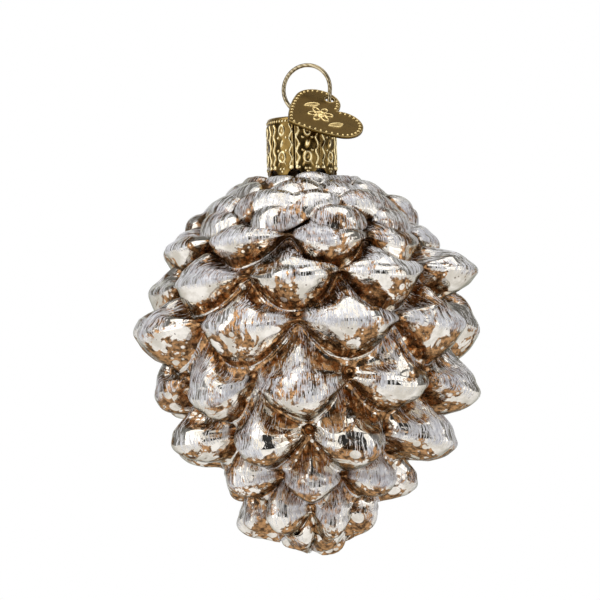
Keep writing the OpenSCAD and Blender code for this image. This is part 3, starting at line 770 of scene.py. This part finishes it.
class Nodes:
    """Short way to build the nodes of a material or a world."""

    def __init__(self, owner):
        owner.use_nodes = True
        self.tree = owner.node_tree

    def set(self, socket, value):
        if isinstance(value, bpy.types.NodeSocket):
            self.tree.links.new(value, socket)
        else:
            socket.default_value = value

    def new(self, kind, inputs=(), **settings):
        node = self.tree.nodes.new(kind)
        for key, value in settings.items():
            setattr(node, key, value)
        for key, value in dict(inputs).items():
            self.set(node.inputs[key], value)
        return node

    def shade(self, values):
        """Sets inputs of the Principled shader."""
        for key, value in values.items():
            self.set(self.tree.nodes["Principled BSDF"].inputs[key], value)

    def math(self, operation, a, b, clamp=False):
        return self.new("ShaderNodeMath", {0: a, 1: b}, operation=operation, use_clamp=clamp).outputs[0]

    def plus(self, a, b):
        return self.math("ADD", a, b)

    def minus(self, a, b):
        return self.math("SUBTRACT", a, b)

    def times(self, a, b):
        return self.math("MULTIPLY", a, b)

    def most(self, a, b):
        return self.math("MAXIMUM", a, b)

    def ramp(self, value, low, high, to_low=0.0, to_high=1.0, kind="SMOOTHSTEP"):
        ends = {"From Min": low, "From Max": high, "To Min": to_low, "To Max": to_high}
        return self.new("ShaderNodeMapRange", {"Value": value, **ends}, interpolation_type=kind).outputs["Result"]

    def mix(self, factor, a, b):
        """Mixes two colours."""
        return self.new("ShaderNodeMix", {"Factor": factor, 6: a, 7: b}, data_type="RGBA").outputs[2]

    def blend(self, factor, a, b):
        """Mixes two numbers."""
        return self.new("ShaderNodeMix", {"Factor": factor, 2: a, 3: b}, data_type="FLOAT").outputs[0]

    def place(self):
        return self.new("ShaderNodeTexCoord").outputs["Object"]

    def layer(self, name, out="Fac"):
        return self.new("ShaderNodeAttribute", attribute_name=name).outputs[out]

    def noise(self, vector, scale, detail=2.0, rough=0.5, distort=0.0):
        inputs = {"Vector": vector, "Scale": scale, "Detail": detail, "Roughness": rough, "Distortion": distort}
        return self.new("ShaderNodeTexNoise", inputs).outputs["Fac"]

    def vector(self, operation, a, b):
        return self.new("ShaderNodeVectorMath", {0: a, 1: b}, operation=operation).outputs[0]

    def bump(self, height, strength, distance, under=None):
        node = self.new("ShaderNodeBump", {"Height": height, "Strength": strength, "Distance": distance})
        if under is not None:
            self.set(node.inputs["Normal"], under)
        return node.outputs["Normal"]


AMBER_DARK = (0.072, 0.035, 0.014, 1)
AMBER_LIGHT = (0.57, 0.312, 0.138, 1)
SILVER_DULL = (0.66, 0.61, 0.53, 1)
SILVER_CLEAR = (0.97, 0.92, 0.85, 1)
PIT_BROWN = (0.10, 0.045, 0.015, 1)
# Painted shade for the folds of the upper rows.
FOLD_PAINTED_SHADE = (0.10, 0.06, 0.035, 1)
FROST_GREY = (0.54, 0.54, 0.60, 1)
FROST_WHITE = (0.96, 0.96, 1.0, 1)
# The silvering darkens where it is seen at a flat angle.
SILVER_RIM = (0.34, 0.35, 0.31, 1)
SPECK_EDGE = 0.05
# Clear specks in the lacquer: cells in a metre, least and greatest radius in cells; below 0 there is none.
CLEAR_SPECKS = [(240, -0.02, 0.44), (480, -0.02, 0.46), (900, -0.04, 0.40)]
DARK_PITS = (1300, -0.2, 0.30)
# Noise: scale in cells in a metre, detail, roughness, distortion.
LACQUER_CLOUD = (150, 5, 0.66, 0.6)
LACQUER_MOTTLE = (900, 4, 0.7)
SILVER_CLOUD = (260, 3, 0.6)
PIT_PATCHES = (240, 2)
STROKE_BEND = (90, 2)
FROST_PATCHES = (95, 2)
FROST_GRAIN = (1900, 2)
GLASS_RIPPLE = (330, 2)
BRASS_STAIN = (420, 4, 0.6)
BRASS_GRAIN = (1500, 3, 0.6)
# Brush strokes: how much they stray, and their fineness round the cone and down it, in cells in a mm.
STRAY = (2.6, 1.6)
FINE_STROKES = (6.4, 6.4, 0.34)
BROAD_STROKES = (1.1, 1.1, 0.13)


def specks(n, place, scale, least, greatest):
    """1 inside round specks of many sizes, 0 outside."""
    cells = n.new("ShaderNodeTexVoronoi", {"Vector": place, "Scale": scale, "Randomness": 1.0}, feature="F1").outputs
    lot = n.new("ShaderNodeSeparateColor", {"Color": cells["Color"]}).outputs["Red"]
    radius = n.ramp(lot, 0.35, 1.0, least, greatest)
    return n.math("DIVIDE", n.minus(radius, cells["Distance"]), SPECK_EDGE, clamp=True)


def lacquer(n, place, lip, deep):
    """1 where amber lacquer lies: ragged patches, thickest in the folds, with clear specks."""
    cloud = n.noise(place, *LACQUER_CLOUD)
    amber = n.ramp(n.plus(cloud, n.minus(n.times(deep, 0.22), n.times(lip, 0.045))), 0.470, 0.505)
    first, *others = (specks(n, place, *sizes) for sizes in CLEAR_SPECKS)
    for other in others:
        first = n.most(first, other)
    return n.times(amber, n.minus(1.0, n.times(first, 0.95)))


def brushing(n, place, along, across, high, upper_fold_shade):
    """1 where dry-brushed white strokes lie, thickest towards each lip, and how white the strokes are."""
    bend = n.noise(place, *STROKE_BEND)
    way = n.new("ShaderNodeCombineXYZ", {"X": n.times(bend, STRAY[0]), "Y": n.times(bend, STRAY[1])}).outputs[0]
    lane = n.vector("ADD", n.layer("streak", "Vector"), way)
    fine = n.noise(n.vector("MULTIPLY", lane, FINE_STROKES), 1.0, 3, 0.62)
    broad = n.noise(n.vector("MULTIPLY", lane, BROAD_STROKES), 1.0, 2, 0.5)
    brush = n.plus(n.times(fine, 0.68), n.times(broad, 0.32))
    patch = n.noise(place, *FROST_PATCHES)
    cover = n.plus(n.times(n.ramp(along, 0.1, 2.7), 0.090), n.times(high, 0.004))
    cover = n.plus(cover, n.times(n.minus(patch, 0.5), 0.42))
    frost = n.times(n.ramp(n.plus(brush, cover), 0.572, 0.612), n.ramp(along, 3.7, 3.1))
    frost = n.times(frost, n.ramp(across, 0.97, 0.80))
    grain = n.ramp(n.noise(place, *FROST_GRAIN), 0.30, 0.62, 0.62, 1.0)
    # The strokes stay out of the upper folds, where shade is painted.
    frost = n.times(n.times(frost, grain), n.minus(1.0, n.times(upper_fold_shade, 0.85)))
    return frost, n.ramp(fine, 0.45, 0.62)


def glass_material():
    """Silvered glass under amber lacquer, with dark pits, dry-brushed white strokes and painted shade in the folds
    of the upper rows.
    """
    material = bpy.data.materials.new("mercury_glass")
    n = Nodes(material)
    place = n.place()
    along, across, upper = n.layer("along"), n.layer("across"), n.layer("upper")
    high = n.ramp(upper, 0.0, 1.0)
    # 1 on the rolled lip, and 1 deep in the folds.
    lip = n.times(n.ramp(along, 1.2, 2.4), n.ramp(along, 4.2, 3.2))
    deep = n.most(n.most(n.ramp(along, 1.0, 0.0), n.ramp(along, 4.4, 5.8)), n.ramp(across, 0.80, 1.0))
    deep = n.times(deep, n.ramp(upper, 0.0, 1.0, 1.0, 0.95))
    # Painted shade: 1 in the folds of the upper rows, which are darkened and kept free of strokes.
    upper_fold_shade = n.times(deep, high)

    amber = lacquer(n, place, lip, deep)
    brown = n.mix(n.ramp(n.noise(place, *LACQUER_MOTTLE), 0.36, 0.64), AMBER_DARK, AMBER_LIGHT)
    silver = n.mix(n.ramp(n.noise(place, *SILVER_CLOUD), 0.35, 0.65), SILVER_DULL, SILVER_CLEAR)
    pits = n.times(specks(n, place, *DARK_PITS), n.ramp(n.noise(place, *PIT_PATCHES), 0.46, 0.58))
    base = n.mix(n.times(pits, 0.85), n.mix(amber, silver, brown), PIT_BROWN)
    # Painted shade darkens the upper folds towards a dark brown.
    base = n.mix(n.times(upper_fold_shade, 0.7), base, FOLD_PAINTED_SHADE)
    frost, whiteness = brushing(n, place, along, across, high, upper_fold_shade)

    normal = n.bump(n.noise(place, *GLASS_RIPPLE), 0.30, 0.0004)
    normal = n.bump(amber, 0.20, 0.00006, normal)
    n.shade({
        "Base Color": n.mix(n.times(frost, 0.94), base, n.mix(whiteness, FROST_GREY, FROST_WHITE)),
        "Metallic": n.times(n.blend(amber, 1.0, 0.88), n.minus(1.0, frost)),
        "Roughness": n.blend(frost, n.blend(amber, 0.035, 0.17), 0.45),
        "Specular Tint": SILVER_RIM,
        "Coat Weight": 0.15,
        "Coat Roughness": 0.03,
        "Normal": n.bump(frost, 0.35, 0.0001, normal),
    })
    return material


# Brass from dark to light.
CAP_TONES = ((0.070, 0.040, 0.011, 1), (0.385, 0.250, 0.078, 1), (1.0, 0.85, 0.50, 1))
TAG_TONES = ((0.055, 0.032, 0.007, 1), (0.145, 0.086, 0.020, 1), (1.0, 0.77, 0.36, 1))
# Dark and light tones of the slanting bands painted on the wire as its sheen.
WIRE_SHEEN_TONES = ((0.27, 0.21, 0.115, 1), (0.50, 0.42, 0.28, 1))


def brass_material(name, tones, low, high, rough):
    """Antique brass: dark in the hollows below low, bright on relief above high, with a middle tone between."""
    dark, middle, light = tones
    material = bpy.data.materials.new(name)
    n = Nodes(material)
    place = n.place()
    stain = n.noise(place, *BRASS_STAIN)
    height = n.plus(n.layer("relief"), n.times(n.minus(stain, 0.5), 0.16))
    color = n.mix(n.ramp(height, low, (low + high) / 2), dark, middle)
    n.shade({
        "Base Color": n.mix(n.ramp(height, (low + high) / 2, high), color, light),
        "Metallic": 1.0,
        "Roughness": n.ramp(stain, 0.3, 0.7, rough, rough + 0.12),
        "Normal": n.bump(n.noise(place, *BRASS_GRAIN), 0.12, 0.00005),
    })
    return material


def wire_material():
    """Brass wire with painted reflections: light and dark slanting bands in its colour stand for the sheen on the
    wire, and the same bands make a fine bump.
    """
    material = bpy.data.materials.new("wire_brass")
    n = Nodes(material)
    # Painted reflection: slanting light and dark bands in the wire's colour, also used as a fine bump.
    grain = n.new("ShaderNodeTexWave", {"Vector": n.place(), "Scale": 620.0, "Distortion": 2.5, "Detail": 2.0},
                  wave_type="BANDS", bands_direction="DIAGONAL").outputs["Fac"]
    n.shade({
        "Base Color": n.mix(n.ramp(grain, 0.2, 0.8), *WIRE_SHEEN_TONES),
        "Metallic": 1.0,
        "Roughness": 0.22,
        "Normal": n.bump(grain, 0.12, 0.00005),
    })
    return material


def paint_node(name, material):
    """Gives a solid that keeps its own form its material."""
    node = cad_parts[name]
    if not node.material_slots:
        node.data.materials.append(material)
    for slot in node.material_slots:
        slot.material = material


glass = glass_shell()
glass.data.materials.append(glass_material())
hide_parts("glass_cone")
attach(glass, "ornament")

cap = cap_shell()
cap.data.materials.append(brass_material("cap_brass", CAP_TONES, -0.05, 0.17, 0.23))
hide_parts("cap")
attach(cap, "ornament")

tag = tag_shell()
tag.data.materials.append(brass_material("tag_brass", TAG_TONES, -0.16, 0.18, 0.26))
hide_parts("heart_tag")
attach(tag, "tag")

paint_node("hanger_wire", wire_material())

# The camera stands 750 mm away, looks up by 2 degrees and is rolled a little. The photograph is 600 pixels wide; the
# named pixel counts are the height of the point it is placed by over the cone's tip, and how far its aim is off it.
IMAGE_PX = 600
PX = 0.2153
MIDDLE_UP_PX = 188
AIM_UP_PX = 66
AIM_LEFT_PX = 7.2
DISTANCE = 750.0
SENSOR = 36
ELEVATION = math.radians(-2.0)
ROLL = math.radians(1.45)
target = Vector((AXIS_X, 0, drop(100) + MIDDLE_UP_PX * PX)) * MM
look = Vector((0, math.cos(ELEVATION), -math.sin(ELEVATION)))
level = Vector((1, 0, 0))
rise = Vector((0, math.sin(ELEVATION), math.cos(ELEVATION)))
at = target - look * DISTANCE * MM
right = level * math.cos(ROLL) - rise * math.sin(ROLL)
up = level * math.sin(ROLL) + rise * math.cos(ROLL)
aim = (look * DISTANCE + up * AIM_UP_PX * PX - right * AIM_LEFT_PX * PX).normalized()
right = (right - aim * right.dot(aim)).normalized()
up = right.cross(aim)
camera = bpy.data.objects.new("camera", bpy.data.cameras.new("camera"))
camera.data.sensor_width = SENSOR
camera.data.lens = SENSOR * DISTANCE / (IMAGE_PX * PX)
camera.data.clip_start = 0.01
camera.data.clip_end = 10
camera.matrix_world = Matrix((
    (right.x, up.x, -aim.x, at.x),
    (right.y, up.y, -aim.y, at.y),
    (right.z, up.z, -aim.z, at.z),
    (0, 0, 0, 1),
))
bpy.context.scene.collection.objects.link(camera)
bpy.context.scene.camera = camera

# Three soft lamps, all turned to the middle of the ornament. Places and sizes are in metres.
ORNAMENT_MIDDLE = Vector((0, 0, -0.06))
LAMPS = [
    ("key", (-0.48, -0.45, 0.25), (0.75, 1.0), 3.3),
    ("fill", (0.60, -0.30, 0.02), (0.55, 0.9), 1.8),
    ("top", (0.05, -0.12, 0.60), (0.9, 0.6), 2.2),
]
for name, place, size, watts in LAMPS:
    light = bpy.data.lights.new(name, "AREA")
    light.shape = "RECTANGLE"
    light.size, light.size_y = size
    light.energy = watts
    lamp = bpy.data.objects.new(name, light)
    lamp.location = place
    lamp.rotation_euler = (ORNAMENT_MIDDLE - Vector(place)).to_track_quat("-Z", "Y").to_euler()
    bpy.context.scene.collection.objects.link(lamp)

# The background behind the ornament is white, also in its reflections. The room in front is dark, its sides are dim.
# How far a direction points back from the camera's side: -1 straight to the front, 1 straight to the background.
FRONT_EDGE = (-0.60, -0.54)
BACK_EDGE = (0.70, 0.85)
BACKDROP_FROM = 0.80
FRONT_LIGHT = 0.035
SIDE_LIGHT = 0.21
BACK_LIGHT = 0.75
world = bpy.data.worlds.new("studio")
bpy.context.scene.world = world
n = Nodes(world)
ray = n.new("ShaderNodeLightPath").outputs
toward = n.new("ShaderNodeSeparateXYZ", {0: n.new("ShaderNodeTexCoord").outputs["Generated"]}).outputs["Y"]
dim = n.ramp(toward, *FRONT_EDGE, FRONT_LIGHT, SIDE_LIGHT, kind="LINEAR")
white = n.ramp(toward, *BACK_EDGE, 0.0, BACK_LIGHT, kind="LINEAR")
mirrored = n.most(ray["Is Glossy Ray"], ray["Is Transmission Ray"])
backdrop = n.times(mirrored, n.math("GREATER_THAN", toward, BACKDROP_FROM))
seen = n.most(ray["Is Camera Ray"], backdrop)
background = n.tree.nodes["Background"]
n.set(background.inputs["Color"], (1, 1, 1, 1))
n.set(background.inputs["Strength"], n.blend(seen, n.plus(dim, white), 1.0))

# A pale floor under the hanging ornament, nearly white to the camera and in reflections, that keeps a soft shadow.
FLOOR_HALF = 1.5
FLOOR_Z = -0.185
FLOOR_GLOW = 0.82
corners = [(FLOOR_HALF * x, FLOOR_HALF * y, FLOOR_Z) for x, y in ((-1, -1), (1, -1), (1, 1), (-1, 1))]
floor_mesh = bpy.data.meshes.new("floor")
floor_mesh.from_pydata(corners, [], [(0, 1, 2, 3)])
floor = bpy.data.objects.new("floor", floor_mesh)
bpy.context.scene.collection.objects.link(floor)
floor_white = bpy.data.materials.new("floor_white")
n = Nodes(floor_white)
n.shade({"Base Color": (0.9, 0.9, 0.9, 1), "Roughness": 0.9})
ray = n.new("ShaderNodeLightPath").outputs
plain = n.most(n.most(ray["Is Camera Ray"], ray["Is Glossy Ray"]), ray["Is Transmission Ray"])
glow = n.new("ShaderNodeEmission", {"Strength": 1.0}).outputs[0]
paint = n.tree.nodes["Principled BSDF"].outputs[0]
surface = n.new("ShaderNodeMixShader", {0: n.times(plain, FLOOR_GLOW), 1: paint, 2: glow}).outputs[0]
n.set(n.tree.nodes["Material Output"].inputs["Surface"], surface)
floor_mesh.materials.append(floor_white)

bpy.context.scene.view_settings.view_transform = "Standard"
